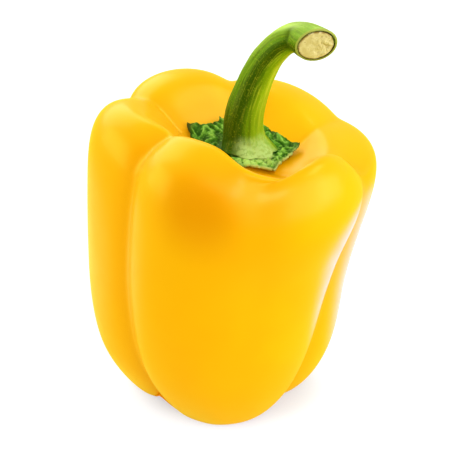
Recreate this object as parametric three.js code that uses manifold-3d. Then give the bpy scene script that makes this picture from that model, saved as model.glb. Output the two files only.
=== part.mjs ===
// A yellow bell pepper as picked: a blocky fruit of six lobes that stands on its own feet, a puckered green
// calyx in the dimple on top, and a long ribbed stem that bends over to a cut end.
//
// Millimetres, +Z up. The origin is on the surface that the pepper stands on, under the middle of the fruit.
// Directions round the fruit are in degrees: 0 is +X, 90 is the back (+Y), 270 is the front.

import * as THREE from "three";
import { mergeVertices } from "three/addons/utils/BufferGeometryUtils.js";
import Module from "manifold-3d";

// Fruit: the axis leans from the blossom scar below to the middle of the dimple above.
const FOOT_AT = { x: -7.8, y: 6.4 };
const TOP_AT = { x: 3.6, y: -5.2 };

// Rings up the outside of the fruit and down into the dimple. Each ring pulls the skin towards its radius and
// height. A ring with a size named after it takes that radius from the lobes instead. share is how much of
// a groove's depth reaches the ring.
const RINGS = [
  { name: "scar", radius: 0, height: 8.6, share: 0 },
  { name: "innerFoot", radius: 8, height: 5.6, share: 0.6 },
  { name: "foot", radius: 18, height: -2.4, share: 1 },
  { name: "heel", radius: 29, height: -1.4, share: 1 },
  { name: "low", radius: 36, height: 15.2, share: 1 },
  { name: "waist", radius: 39, height: 38.6, share: 1 },
  { name: "high", radius: 41, height: 58.6, share: 1 },
  { name: "shoulder", radius: 40, height: 85, share: 1 },
  { name: "crown", radius: 33, height: 90.6, share: 1 },
  { name: "lip", radius: 23.5, height: 92, share: 1 },
  { name: "bowl", radius: 16, height: 83.6, share: 1 },
  { name: "seat", radius: 8, height: 83.6, share: 0.4 },
  { name: "centre", radius: 0, height: 85.1, share: 0 },
];

// Lobes: the direction of each crest and its radius at each ring. sink lowers its foot, level is how high its
// shoulder bulges, rim is the radius of its crown and top is how high that stands.
const LOBES = [
  {
    at: 154, foot: 20.5, sink: 0.3, heel: 26, low: 37.5, waist: 40.5,
    high: 41.5, shoulder: 44, level: 91, rim: 38, top: 99,
  },
  {
    at: 122, foot: 19, sink: 1.3, heel: 28, low: 35, waist: 37.5,
    high: 40, shoulder: 42.5, level: 88, rim: 38.5, top: 97.5,
  },
  {
    at: 66, foot: 19, sink: 2.1, heel: 28, low: 34.5, waist: 36.5,
    high: 39, shoulder: 41.5, level: 88.5, rim: 35, top: 94.5,
  },
  {
    at: 23, foot: 20, sink: -0.4, heel: 30, low: 39, waist: 39,
    high: 44.5, shoulder: 49.5, level: 83, rim: 35, top: 85.5,
  },
  {
    at: 314, foot: 19, sink: 0, heel: 25, low: 33.5, waist: 36,
    high: 38, shoulder: 45.5, level: 77.5, rim: 35, top: 96.5,
  },
  {
    at: 221, foot: 18, sink: 0.4, heel: 19.5, low: 33, waist: 37.5,
    high: 38, shoulder: 35.5, level: 92, rim: 23.5, top: 99,
  },
];
const LOBE_GRIP = 6; // how closely the skin keeps to the nearest lobe's sizes
const BOWL_FOLLOWS = 0.3; // share of its crown's extra height that the bowl inside it takes up

// Grooves between the lobes. at is their direction, deep their depth and soft the rounding of their bottom in
// degrees, each at the foot, waist, crown and bowl of the fruit. wide is how far they spread, in degrees.
const GROOVES = [
  { at: [150, 138, 149, 148], deep: [6, 2.7, 5, 2], soft: [4, 6, 3, 3], wide: 13 },
  { at: [92, 92, 92, 92], deep: [6, 3.5, 4.8, 2], soft: [4, 6, 3, 3], wide: 13 },
  { at: [40, 50, 33, 31], deep: [6, 2.2, 1.8, 2], soft: [4, 6, 3, 3], wide: 13 },
  { at: [323, 343, 356, 336], deep: [4, 4.5, 5.8, 2.5], soft: [4, 6, 6, 6], wide: 14 },
  { at: [280, 286, 281, 312], deep: [0.8, 0.8, 6.2, 3], soft: [10, 10, 8, 8], wide: 20 },
  { at: [224, 216, 208, 202], deep: [6.5, 4.6, 3.8, 1], soft: [5, 6, 3, 3], wide: 14 },
];
const GROOVE_RINGS = [2, 5, 8, 10]; // the foot, waist, crown and bowl rings
const GROOVE_ENDS = 0.06; // stretch of the skin over which grooves die out at the scar and in the dimple
const DIMPLE_FROM = 0.72; // where the skin turns down into the dimple, from 0 at the scar to 1 at its middle
const FRUIT_SIDES = 78;
const FRUIT_ROWS = 42;
const ROOM = 200; // side of the block above the standing surface that the fruit is kept to

// Calyx: a puckered leafy plate in the dimple, with pointed lobes.
const GAP = 0.45; // clear space between pieces that touch
const CALYX_AT = { x: 3.9, y: 0.8 };
const CALYX_TIPS = [
  { at: 11, reach: 16.5 },
  { at: 60, reach: 11.6 },
  { at: 121, reach: 14.6 },
  { at: 158, reach: 18.5 },
  { at: 208, reach: 14.5 },
  { at: 256, reach: 13.5 },
  { at: 307, reach: 14 },
];
const CALYX_NOTCH = { reach: 0.84, round: 0.8 }; // edge between two tips: share of their reach, and roundness
const CALYX_THICK = { middle: 1.3, edge: 0.75 };
const PUCKER = { height: 0.5, from: 8.2, to: 10.5 }; // relief of the leafy part, and where it starts
// How far the edge and the long tips stand off the fruit, with the reach where a tip starts and ends to rise.
const CURL = { edge: 0.4, tip: 0.7, from: 12.5, to: 18 };
const CALYX_SIDES = 112;
const CALYX_ROWS = 8;

// Stem: its route from the middle of the calyx to the middle of the cut, with the radius at each point.
const STEM_PATH = [
  { x: 3.9, y: 0.8, z: 85.2, radius: 5.6 },
  { x: 3.4, y: 0.8, z: 92.3, radius: 5.5 },
  { x: 4.1, y: 0.5, z: 98.2, radius: 5.2 },
  { x: 5.9, y: 0, z: 104.5, radius: 4.8 },
  { x: 7.9, y: -1, z: 110.3, radius: 4.45 },
  { x: 10.6, y: -2.6, z: 116.2, radius: 4.2 },
  { x: 14.6, y: -5.5, z: 121.8, radius: 4.05 },
  { x: 18.8, y: -9, z: 124.7, radius: 4.25 },
  { x: 22.9, y: -13, z: 124.3, radius: 4.9 },
];
// The flared foot on the calyx: it swells out to one side, in ridges that run down to the calyx.
const STEM_FOOT = {
  radius: 6.1,
  swell: 3.2,
  swellAt: 315,
  ridge: 0.6,
  ridges: 8,
  lip: 0.8,
  height: 6.5,
  rows: 5,
  hollow: 2.4, // how fast the flare draws in from the calyx upwards
};
const STEM_RIBS = { count: 6, height: 0.22 };
const STEM_SIDES = 36;
const STEM_ROWS = 30;
const STEM_TURN_FROM = 0.62; // where the stem starts to turn square to the cut, from 0 at its foot to 1
const CUT_NORMAL = new THREE.Vector3(0.25, -0.96, -0.12).normalize();
const CUT_RIM = { wide: 5.9, tall: 5.1, from: 0.82 }; // half sizes of the flared mouth, and where it starts
// The hollow in the cut that the pith fills, a little off the middle.
const CUT_HOLLOW = { wide: 5.35, tall: 4.55, aside: -0.2, down: 0.2 };
const CUT_DEEP = 1.9;
const PITH = { gap: 0.3, proud: 0.15, dome: 0.5, edge: 0.2, rough: 0.12 };

const COLOURS = {
  fruit: { color: 0xf9b90a, roughness: 0.22, metalness: 0 },
  calyx: { color: 0x5f9a3a, roughness: 0.6, metalness: 0 },
  stem: { color: 0x6f9a22, roughness: 0.5, metalness: 0 },
  cut_end: { color: 0xe2d082, roughness: 0.8, metalness: 0 },
};

const wasm = await Module();
wasm.setup();

const radians = THREE.MathUtils.degToRad;
const smooth = (value, from, to) => THREE.MathUtils.smoothstep(value, from, to);

// Value at s of a cubic B-spline with one control value a ring. It is mirrored past both ends, with its sign
// turned where mirror is -1, so that the skin closes smoothly over the scar and the middle of the dimple.
function alongRings(values, s, mirror = 1) {
  const last = values.length - 1;
  const value = (k) => {
    if (k < 0) return mirror * values[-k];
    return k > last ? mirror * values[2 * last - k] : values[k];
  };
  const first = Math.min(Math.floor(s * last), last - 1);
  const t = s * last - first;
  const sum =
    (1 - t) ** 3 * value(first - 1) +
    (3 * t ** 3 - 6 * t ** 2 + 4) * value(first) +
    (-3 * t ** 3 + 3 * t ** 2 + 3 * t + 1) * value(first + 1) +
    t ** 3 * value(first + 2);
  return sum / 6;
}

// The sizes of the lobes, blended for one direction.
function lobeSizes(angle) {
  const weights = LOBES.map((lobe) => Math.exp(LOBE_GRIP * (Math.cos(radians(angle - lobe.at)) - 1)));
  const total = weights.reduce((sum, weight) => sum + weight, 0);
  const sizes = {};
  for (const name of Object.keys(LOBES[0])) {
    sizes[name] = LOBES.reduce((sum, lobe, k) => sum + (lobe[name] * weights[k]) / total, 0);
  }
  return sizes;
}

// Radius and height of every ring in one direction.
function ringControls(angle) {
  const sizes = lobeSizes(angle);
  const crown = RINGS.find((ring) => ring.name === "crown");
  const rimShare = sizes.rim / crown.radius;
  const rise = sizes.top - crown.height;
  return RINGS.map((ring) => {
    const { name, radius, height } = ring;
    if (name === "crown") return { radius: sizes.rim, height: sizes.top };
    if (name === "lip") return { radius: radius * rimShare, height: height + rise };
    if (name === "bowl") return { radius: radius * rimShare, height: height + BOWL_FOLLOWS * rise };
    if (name === "shoulder") return { radius: sizes.shoulder, height: sizes.level };
    if (name === "foot") return { radius: sizes.foot, height: height - sizes.sink };
    return { radius: sizes[name] ?? radius, height };
  });
}

// A groove's four values spread over all the rings.
function overRings(values) {
  return RINGS.map((ring, k) => {
    if (k <= GROOVE_RINGS[0]) return values[0];
    for (let i = 1; i < GROOVE_RINGS.length; i++) {
      if (k <= GROOVE_RINGS[i]) {
        const t = (k - GROOVE_RINGS[i - 1]) / (GROOVE_RINGS[i] - GROOVE_RINGS[i - 1]);
        return THREE.MathUtils.lerp(values[i - 1], values[i], t);
      }
    }
    return values[values.length - 1];
  });
}

const grooves = GROOVES.map((groove) => ({
  at: overRings(groove.at),
  deep: overRings(groove.deep).map((depth, k) => depth * RINGS[k].share),
  soft: overRings(groove.soft),
  wide: groove.wide,
}));

// How deep all the grooves press the skin in at a direction and a place s along the rings.
function grooveDepth(angle, s) {
  let depth = 0;
  for (const groove of grooves) {
    const off = THREE.MathUtils.euclideanModulo(angle - alongRings(groove.at, s) + 180, 360) - 180;
    const soft = alongRings(groove.soft, s);
    const away = Math.hypot(off, soft) - soft;
    depth += alongRings(groove.deep, s) * Math.exp(-away / groove.wide);
  }
  const ends = Math.min(s, 1 - s) / GROOVE_ENDS;
  return depth * Math.min(ends, 1);
}

// Where the leaning axis is at s.
function axisAt(s) {
  const t = 0.5 - 0.5 * Math.cos(Math.PI * s);
  return {
    x: THREE.MathUtils.lerp(FOOT_AT.x, TOP_AT.x, t),
    y: THREE.MathUtils.lerp(FOOT_AT.y, TOP_AT.y, t),
  };
}

// Radius from the axis and height of the skin at a direction and s, with s from 0 at the scar to 1 in the
// middle of the dimple. controls saves working the rings out again for the same direction.
function skinProfile(angle, s, controls = ringControls(angle)) {
  const radii = controls.map((ring) => ring.radius);
  const heights = controls.map((ring) => ring.height);
  const step = 0.004;
  const before = Math.max(s - step, 0);
  const after = Math.min(s + step, 1);
  const runOut = alongRings(radii, after, -1) - alongRings(radii, before, -1);
  const runUp = alongRings(heights, after) - alongRings(heights, before);
  const run = Math.hypot(runOut, runUp) || 1;
  const press = grooveDepth(angle, s);
  return {
    radius: alongRings(radii, s, -1) - (press * runUp) / run,
    height: alongRings(heights, s) + (press * runOut) / run,
  };
}

function skinPoint(angle, s, controls) {
  const profile = skinProfile(angle, s, controls);
  const axis = axisAt(s);
  const x = axis.x + profile.radius * Math.cos(radians(angle));
  const y = axis.y + profile.radius * Math.sin(radians(angle));
  return new THREE.Vector3(x, y, profile.height);
}

// Height of the skin inside the dimple over a point (x, y), found by halving s between lip and middle.
function dimpleHeight(x, y) {
  let low = DIMPLE_FROM;
  let high = 1;
  let profile;
  for (let k = 0; k < 22; k++) {
    const s = (low + high) / 2;
    const axis = axisAt(s);
    const angle = THREE.MathUtils.radToDeg(Math.atan2(y - axis.y, x - axis.x));
    profile = skinProfile(angle, s);
    if (profile.radius > Math.hypot(x - axis.x, y - axis.y)) low = s;
    else high = s;
  }
  return profile.height;
}

// A closed mesh from rows of points. Each row is a ring of the same number of points or a single point, and
// the first and last rows are single points. Rows run so that the outside is on the right of their order.
function closedMesh(rows) {
  const points = [];
  const starts = rows.map((row) => {
    const start = points.length / 3;
    for (const point of row) points.push(point.x, point.y, point.z);
    return start;
  });
  const sides = Math.max(...rows.map((row) => row.length));
  const faces = [];
  for (let k = 0; k + 1 < rows.length; k++) {
    for (let i = 0; i < sides; i++) {
      const next = (i + 1) % sides;
      const a = starts[k] + (rows[k].length > 1 ? i : 0);
      const b = starts[k] + (rows[k].length > 1 ? next : 0);
      const c = starts[k + 1] + (rows[k + 1].length > 1 ? next : 0);
      const d = starts[k + 1] + (rows[k + 1].length > 1 ? i : 0);
      if (rows[k].length > 1) faces.push(a, b, rows[k + 1].length > 1 ? d : c);
      if (rows[k + 1].length > 1) faces.push(b, c, d);
    }
  }
  const geometry = new THREE.BufferGeometry();
  geometry.setAttribute("position", new THREE.Float32BufferAttribute(points, 3));
  geometry.setIndex(faces);
  return geometry;
}

function solidOf(geometry) {
  const bare = geometry.clone();
  bare.deleteAttribute("normal");
  bare.deleteAttribute("uv");
  const merged = mergeVertices(bare, 1e-4);
  return new wasm.Manifold(
    new wasm.Mesh({
      numProp: 3,
      vertProperties: merged.attributes.position.array,
      triVerts: new Uint32Array(merged.index.array),
    })
  );
}

function geometryOf(solid) {
  const mesh = solid.getMesh();
  const geometry = new THREE.BufferGeometry();
  geometry.setAttribute("position", new THREE.BufferAttribute(new Float32Array(mesh.vertProperties), 3));
  geometry.setIndex(new THREE.BufferAttribute(new Uint32Array(mesh.triVerts), 1));
  return geometry;
}

// The fruit's skin as one closed body, with its feet cut flat where it stands.
function makeFruit() {
  const angles = Array.from({ length: FRUIT_SIDES }, (_, i) => (360 * i) / FRUIT_SIDES);
  const controls = angles.map(ringControls);
  const rows = [];
  for (let k = 0; k <= FRUIT_ROWS; k++) {
    const s = k / FRUIT_ROWS;
    const atPole = k === 0 || k === FRUIT_ROWS;
    const sides = atPole ? [0] : angles.map((_, i) => i);
    rows.push(sides.map((i) => skinPoint(angles[i], s, controls[i])));
  }
  const above = new THREE.BoxGeometry(ROOM, ROOM, ROOM);
  above.translate(0, 0, ROOM / 2);
  return geometryOf(solidOf(closedMesh(rows)).intersect(solidOf(above)));
}

// Reach of the calyx's edge in one direction: pointed tips with hollow edges between them.
function calyxReach(angle) {
  const turn = (from, to) => THREE.MathUtils.euclideanModulo(to - from, 360);
  for (let k = 0; k < CALYX_TIPS.length; k++) {
    const tip = CALYX_TIPS[k];
    const next = CALYX_TIPS[(k + 1) % CALYX_TIPS.length];
    const span = turn(tip.at, next.at);
    const t = turn(tip.at, angle) / span;
    if (t <= 1) {
      const notch = Math.pow(4 * t * (1 - t), CALYX_NOTCH.round);
      return THREE.MathUtils.lerp(tip.reach, next.reach, t) * (1 - (1 - CALYX_NOTCH.reach) * notch);
    }
  }
  return CALYX_TIPS[0].reach;
}

// Puckers of the leafy part: veins that run outwards and short folds across them.
function pucker(angle, reach) {
  const sway = 2 * Math.sin(radians(3 * angle));
  const fold = Math.sin(radians(7 * angle) + 0.9 * reach) * Math.cos(1.5 * reach + sway);
  const vein = Math.cos(radians(12 * angle) + 0.5 * Math.sin(reach));
  return PUCKER.height * (0.65 * fold + 0.35 * vein) * smooth(reach, PUCKER.from, PUCKER.to);
}

// Heights of the calyx's under and upper face at a direction and a reach from its middle.
function calyxHeights(angle, reach) {
  const x = CALYX_AT.x + reach * Math.cos(radians(angle));
  const y = CALYX_AT.y + reach * Math.sin(radians(angle));
  const edge = reach / calyxReach(angle);
  const curl = CURL.tip * smooth(reach, CURL.from, CURL.to) + CURL.edge * smooth(edge, 0.8, 1);
  const under = dimpleHeight(x, y) + GAP + curl;
  const thick = THREE.MathUtils.lerp(CALYX_THICK.middle, CALYX_THICK.edge, smooth(edge, 0.55, 1));
  const relief = pucker(angle, reach);
  return { x, y, under: under + Math.max(relief, 0), upper: under + thick + Math.max(relief, 0) };
}

function makeCalyx() {
  const angles = Array.from({ length: CALYX_SIDES }, (_, i) => (360 * i) / CALYX_SIDES);
  const rows = { under: [], upper: [] };
  for (let k = 0; k <= CALYX_ROWS; k++) {
    const share = Math.pow(k / CALYX_ROWS, 0.75);
    const sides = k === 0 ? [0] : angles;
    const places = sides.map((angle) => calyxHeights(angle, share * calyxReach(angle)));
    for (const face of ["under", "upper"]) {
      rows[face].push(places.map((place) => new THREE.Vector3(place.x, place.y, place[face])));
    }
  }
  return closedMesh([...rows.under, ...rows.upper.reverse()]);
}

// A point of the stem's route with its direction and radius, for t from 0 at the foot to 1 at the cut.
const stemCurve = new THREE.CatmullRomCurve3(
  STEM_PATH.map((point) => new THREE.Vector3(point.x, point.y, point.z)),
  false,
  "catmullrom"
);

function stemRadius(t) {
  const place = t * (STEM_PATH.length - 1);
  const first = Math.min(Math.floor(place), STEM_PATH.length - 2);
  return THREE.MathUtils.lerp(STEM_PATH[first].radius, STEM_PATH[first + 1].radius, place - first);
}

// Two directions across the stem at each row, turned as little as possible from row to row.
function stemFrames(ts) {
  let across = new THREE.Vector3(1, 0, 0);
  return ts.map((t) => {
    const turn = smooth(t, STEM_TURN_FROM, 1);
    const along = stemCurve.getTangent(t).lerp(CUT_NORMAL, turn).normalize();
    across = across.clone().addScaledVector(along, -across.dot(along)).normalize();
    const beside = along.clone().cross(across);
    return { centre: stemCurve.getPoint(t), across, beside, flare: smooth(t, CUT_RIM.from, 1) };
  });
}

// The cut's own directions: level across it and steep up it.
const cutLevel = new THREE.Vector3(0, 0, 1).cross(CUT_NORMAL).normalize();
const cutSteep = CUT_NORMAL.clone().cross(cutLevel);

// A ring of the stem. The round section turns into the oval of the cut as flare goes from 0 to 1.
function stemRing(frame, radius, wide, tall, ribs) {
  return Array.from({ length: STEM_SIDES }, (_, i) => {
    const turn = (2 * Math.PI * i) / STEM_SIDES;
    const out = frame.across.clone().multiplyScalar(Math.cos(turn));
    out.addScaledVector(frame.beside, Math.sin(turn));
    const ribbed = radius + ribs * Math.cos(STEM_RIBS.count * turn);
    const offset = out.clone().multiplyScalar(ribbed);
    offset.addScaledVector(cutLevel, frame.flare * (wide - ribbed) * out.dot(cutLevel));
    offset.addScaledVector(cutSteep, frame.flare * (tall - ribbed) * out.dot(cutSteep));
    return offset.add(frame.centre);
  });
}

// The frame of the hollow in the cut, a little off the middle of the stem.
function hollowFrame() {
  const frame = stemFrames([1])[0];
  frame.centre.addScaledVector(cutLevel, CUT_HOLLOW.aside).addScaledVector(cutSteep, -CUT_HOLLOW.down);
  return frame;
}

// The foot's rows: under the flare, over the calyx, and up the flare to the round stem.
function stemFootRows(first) {
  const turns = Array.from({ length: STEM_SIDES }, (_, i) => (360 * i) / STEM_SIDES);
  const onCalyx = (angle, reach, lift) => {
    const place = calyxHeights(angle, reach);
    return new THREE.Vector3(place.x, place.y, place.upper + GAP + lift);
  };
  const hem = (angle) => {
    const side = 0.5 + 0.5 * Math.cos(radians(angle - STEM_FOOT.swellAt));
    const ridge = STEM_FOOT.ridge * Math.cos(radians(STEM_FOOT.ridges * angle));
    return STEM_FOOT.radius + (STEM_FOOT.swell + ridge) * side;
  };
  const rows = [[onCalyx(0, 0, 0)]];
  for (const share of [0.4, 0.75, 1]) {
    rows.push(turns.map((angle) => onCalyx(angle, share * hem(angle), 0)));
  }
  for (let k = 0; k < STEM_FOOT.rows; k++) {
    const t = k / STEM_FOOT.rows;
    rows.push(
      turns.map((angle, i) => {
        const low = onCalyx(angle, hem(angle), STEM_FOOT.lip);
        const spread = (1 - t) ** STEM_FOOT.hollow;
        const point = first[i].clone().lerp(low, spread);
        point.z = THREE.MathUtils.lerp(low.z, first[i].z, t);
        return point;
      })
    );
  }
  return rows;
}

// The stem as one body: flared foot, ribbed stalk, and a mouth with a shallow hollow for the pith.
function makeStem() {
  const from = STEM_FOOT.height / stemCurve.getLength();
  const ts = Array.from({ length: STEM_ROWS }, (_, k) => from + ((1 - from) * k) / (STEM_ROWS - 1));
  const frames = stemFrames(ts);
  const rings = frames.map((frame, k) => {
    const ribs = STEM_RIBS.height * (1 - frame.flare);
    return stemRing(frame, stemRadius(ts[k]), CUT_RIM.wide, CUT_RIM.tall, ribs);
  });
  const mouth = hollowFrame();
  const inner = stemRing(mouth, 0, CUT_HOLLOW.wide, CUT_HOLLOW.tall, 0);
  const sunk = inner.map((point) => point.clone().addScaledVector(CUT_NORMAL, -CUT_DEEP));
  const floor = mouth.centre.clone().addScaledVector(CUT_NORMAL, -CUT_DEEP);
  return closedMesh([...stemFootRows(rings[0]), ...rings, inner, sunk, [floor]]);
}

// The pale pith in the mouth, a little domed and uneven.
function makeCutEnd() {
  const mouth = hollowFrame();
  const row = (share, lift) =>
    stemRing(mouth, 0, CUT_HOLLOW.wide - PITH.gap, CUT_HOLLOW.tall - PITH.gap, 0).map((point, i) => {
      const rough = PITH.rough * Math.sin(5 * i) * share * (1 - share);
      return mouth.centre.clone().lerp(point, share).addScaledVector(CUT_NORMAL, lift + rough);
    });
  const deep = PITH.gap - CUT_DEEP;
  const back = mouth.centre.clone().addScaledVector(CUT_NORMAL, deep);
  const front = mouth.centre.clone().addScaledVector(CUT_NORMAL, PITH.proud + PITH.dome);
  const faces = [0.85, 0.6, 0.3].map((share) => row(share, PITH.proud + PITH.dome * (1 - share ** 2)));
  return closedMesh([[back], row(1, deep), row(1, PITH.proud - PITH.edge), ...faces, [front]]);
}

function makeMesh(name, geometry) {
  geometry.computeVertexNormals();
  const mesh = new THREE.Mesh(geometry, new THREE.MeshStandardMaterial(COLOURS[name]));
  mesh.name = name;
  return mesh;
}

const pepper = new THREE.Group();
pepper.add(makeMesh("fruit", makeFruit()));
pepper.add(makeMesh("calyx", makeCalyx()));
pepper.add(makeMesh("stem", makeStem()));
pepper.add(makeMesh("cut_end", makeCutEnd()));

export default pepper;
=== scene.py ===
import math

import bpy
import numpy as np
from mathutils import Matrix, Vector, noise


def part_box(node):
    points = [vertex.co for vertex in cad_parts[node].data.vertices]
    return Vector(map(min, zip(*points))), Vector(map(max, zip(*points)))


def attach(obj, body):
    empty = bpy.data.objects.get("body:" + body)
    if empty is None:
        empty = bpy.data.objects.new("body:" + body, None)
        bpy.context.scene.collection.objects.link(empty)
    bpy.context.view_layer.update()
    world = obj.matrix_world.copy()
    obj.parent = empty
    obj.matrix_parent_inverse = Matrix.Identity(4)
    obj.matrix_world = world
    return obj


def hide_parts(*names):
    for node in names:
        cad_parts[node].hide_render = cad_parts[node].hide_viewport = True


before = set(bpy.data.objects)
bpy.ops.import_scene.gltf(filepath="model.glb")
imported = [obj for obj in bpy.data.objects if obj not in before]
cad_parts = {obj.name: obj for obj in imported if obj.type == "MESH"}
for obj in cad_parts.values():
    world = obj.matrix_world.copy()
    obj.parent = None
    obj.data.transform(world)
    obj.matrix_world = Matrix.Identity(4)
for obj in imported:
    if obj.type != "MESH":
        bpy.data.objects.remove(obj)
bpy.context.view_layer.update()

# A yellow bell pepper: the lobed fruit, its calyx and its cut stem.
# Lengths are in millimetres until finishMesh turns them into metres.
# Directions round the fruit are in degrees: 0 is +X, 90 is the back and 270 is the front.
mm = 0.001


def smoothStep(value, start, end):
    t = np.clip((value - start) / (end - start), 0, 1)
    return t * t * (3 - 2 * t)


# smooth noise from -1 to 1 at each point, in lumps of about that size
def lumps(points, size, seed):
    shift = Vector((7.1 * seed, 3.7 * seed, 11.3 * seed))
    return np.array([noise.noise(Vector(point) / size + shift) for point in points])


# noise in sharp ridges from 0 to 1, like creases in a dry leaf
def creases(points, size, seed):
    steep = 2.6
    return 1 - np.minimum(steep * np.abs(lumps(points, size, seed)), 1)


# 1 on the side that a direction in degrees points to, 0 on the far side
def facing(angle, at, start=0.0, end=1.0):
    return smoothStep(0.5 + 0.5 * np.cos(np.radians(angle - at)), start, end)


# faces between rows of points; a row is a ring of points or a single one
def rowsToFaces(rows):
    starts = np.cumsum([0] + [len(row) for row in rows])
    sides = max(len(row) for row in rows)
    faces = []
    for k in range(len(rows) - 1):
        lower = len(rows[k]) > 1
        upper = len(rows[k + 1]) > 1
        for i in range(sides):
            j = (i + 1) % sides
            face = [starts[k] + i, starts[k] + j] if lower else [starts[k]]
            face += [starts[k + 1] + j, starts[k + 1] + i] if upper else [starts[k + 1]]
            faces.append([int(corner) for corner in face])
    return faces


# keeps a finer piece inside the box of the node that it stands for
def fitInside(points, node):
    low, high = (np.array(corner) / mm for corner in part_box(node))
    middle = (low + high) / 2
    reach = np.abs(points - middle).max(axis=0)
    return middle + (points - middle) * np.minimum(1, (high - low) / 2 / reach)


def finishMesh(name, rows, node, material, marks):
    points = fitInside(np.vstack(rows), node)
    mesh = bpy.data.meshes.new(name)
    mesh.from_pydata((points * mm).tolist(), [], rowsToFaces(rows))
    for mark, values in marks.items():
        values = np.concatenate([np.asarray(value, float) for value in values])
        kind = "FLOAT_VECTOR" if values.ndim == 2 else "FLOAT"
        layer = mesh.attributes.new(mark, kind, "POINT")
        layer.data.foreach_set("vector" if values.ndim == 2 else "value", values.ravel())
    mesh.shade_smooth()
    mesh.materials.append(material)
    piece = bpy.data.objects.new(name, mesh)
    bpy.context.scene.collection.objects.link(piece)
    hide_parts(node)
    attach(piece, "root")
    print(name, "made:", len(mesh.polygons), "faces")


# Fruit

fruit = {
    "footAt": (-7.8, 6.4),
    "topAt": (3.6, -5.2),
    "sides": 300,
    "rows": 220,
    # rings up the outside and down into the dimple: radius, height and share of the grooves' depth
    "rings": {
        "scar": (0, 8.6, 0),
        "innerFoot": (8, 5.6, 0.6),
        "foot": (18, -2.4, 1),
        "heel": (29, -1.4, 1),
        "low": (36, 15.2, 1),
        "waist": (39, 38.6, 1),
        "high": (41, 58.6, 1),
        "shoulder": (40, 85, 1),
        "crown": (33, 90.6, 1),
        "lip": (23.5, 92, 1),
        "bowl": (16, 83.6, 1),
        "seat": (8, 83.6, 0.4),
        "centre": (0, 85.1, 0),
    },
    # lobes: where each crest points, and its own sizes at the rings
    "lobes": [
        {"at": 154, "foot": 20.5, "sink": 0.3, "heel": 26, "low": 37.5, "waist": 40.5,
         "high": 41.5, "shoulder": 44, "level": 91, "rim": 38, "top": 99},
        {"at": 122, "foot": 19, "sink": 1.3, "heel": 28, "low": 35, "waist": 37.5,
         "high": 40, "shoulder": 42.5, "level": 88, "rim": 38.5, "top": 97.5},
        {"at": 66, "foot": 19, "sink": 2.1, "heel": 28, "low": 34.5, "waist": 36.5,
         "high": 39, "shoulder": 41.5, "level": 88.5, "rim": 35, "top": 94.5},
        {"at": 23, "foot": 20, "sink": -0.4, "heel": 30, "low": 39, "waist": 39,
         "high": 44.5, "shoulder": 49.5, "level": 83, "rim": 35, "top": 85.5},
        {"at": 314, "foot": 19, "sink": 0, "heel": 25, "low": 33.5, "waist": 36,
         "high": 38, "shoulder": 45.5, "level": 77.5, "rim": 35, "top": 96.5},
        {"at": 221, "foot": 18, "sink": 0.4, "heel": 19.5, "low": 33, "waist": 37.5,
         "high": 38, "shoulder": 35.5, "level": 92, "rim": 23.5, "top": 99},
    ],
    "lobeGrip": 6,
    "bowlFollows": 0.3,
    # grooves, each with its direction, depth and roundness at the foot, waist, crown and bowl
    "grooves": [
        {"at": (150, 138, 149, 148), "deep": (6, 2.7, 5.6, 2.2), "soft": (4, 6, 1, 1.5), "wide": 12},
        {"at": (92, 92, 92, 92), "deep": (6, 3.5, 4.8, 2), "soft": (4, 6, 3, 3), "wide": 13},
        {"at": (40, 50, 33, 31), "deep": (6, 2.2, 2.6, 2.1), "soft": (4, 6, 1.5, 2.5), "wide": 13},
        {"at": (323, 343, 356, 336), "deep": (4, 5.4, 6.4, 2.5), "soft": (3, 3, 4, 5), "wide": 13},
        {"at": (280, 286, 281, 312), "deep": (0.8, 0.8, 6.2, 3), "soft": (10, 10, 8, 8), "wide": 20},
        {"at": (224, 216, 208, 202), "deep": (6.5, 5, 4.2, 1), "soft": (3, 3, 2.5, 3), "wide": 13},
    ],
    "grooveRings": (2, 5, 8, 10),
    "grooveEnds": 0.06,
    "dimpleFrom": 0.72,
    # soft unevenness of the skin, from above the feet up and away from both ends
    "ripple": {"size": 17, "depth": 0.14, "starts": (3, 14), "ends": 1 / 8, "middle": 50},
}
ringSizes = np.array(list(fruit["rings"].values()), float)
ringNames = list(fruit["rings"])


# share of each ring's value in the skin at s, from 0 at the scar to 1 in the middle of the dimple
def ringShares(s, mirror=1):
    last = len(ringNames) - 1
    first = np.minimum(np.floor(s * last), last - 1).astype(int)
    t = s * last - first
    parts = ((1 - t) ** 3, 3 * t**3 - 6 * t**2 + 4, -3 * t**3 + 3 * t**2 + 3 * t + 1, t**3)
    shares = np.zeros((len(s), last + 1))
    for step, part in zip((-1, 0, 1, 2), parts):
        k = first + step
        sign = np.where((k < 0) | (k > last), mirror, 1)
        k = np.where(k > last, 2 * last - k, np.abs(k))
        shares[np.arange(len(s)), k] += sign * part / 6
    return shares


# radius and height of every ring in each direction, with the lobes blended
def ringControls(angle):
    lobes = fruit["lobes"]
    turn = np.radians(angle[:, None] - np.array([lobe["at"] for lobe in lobes]))
    pull = np.exp(fruit["lobeGrip"] * (np.cos(turn) - 1))
    pull /= pull.sum(axis=1, keepdims=True)
    size = {key: pull @ np.array([lobe[key] for lobe in lobes], float) for key in lobes[0]}
    radius = np.tile(ringSizes[:, 0], (len(angle), 1))
    height = np.tile(ringSizes[:, 1], (len(angle), 1))
    crown = ringNames.index("crown")
    spread = size["rim"] / ringSizes[crown, 0]
    rise = size["top"] - ringSizes[crown, 1]
    for k, name in enumerate(ringNames):
        if name in ("foot", "heel", "low", "waist", "high", "shoulder"):
            radius[:, k] = size[name]
        if name in ("lip", "bowl"):
            radius[:, k] *= spread
            height[:, k] += rise * (1 if name == "lip" else fruit["bowlFollows"])
    radius[:, crown] = size["rim"]
    height[:, crown] = size["top"]
    height[:, ringNames.index("shoulder")] = size["level"]
    height[:, ringNames.index("foot")] -= size["sink"]
    return radius, height


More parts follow.
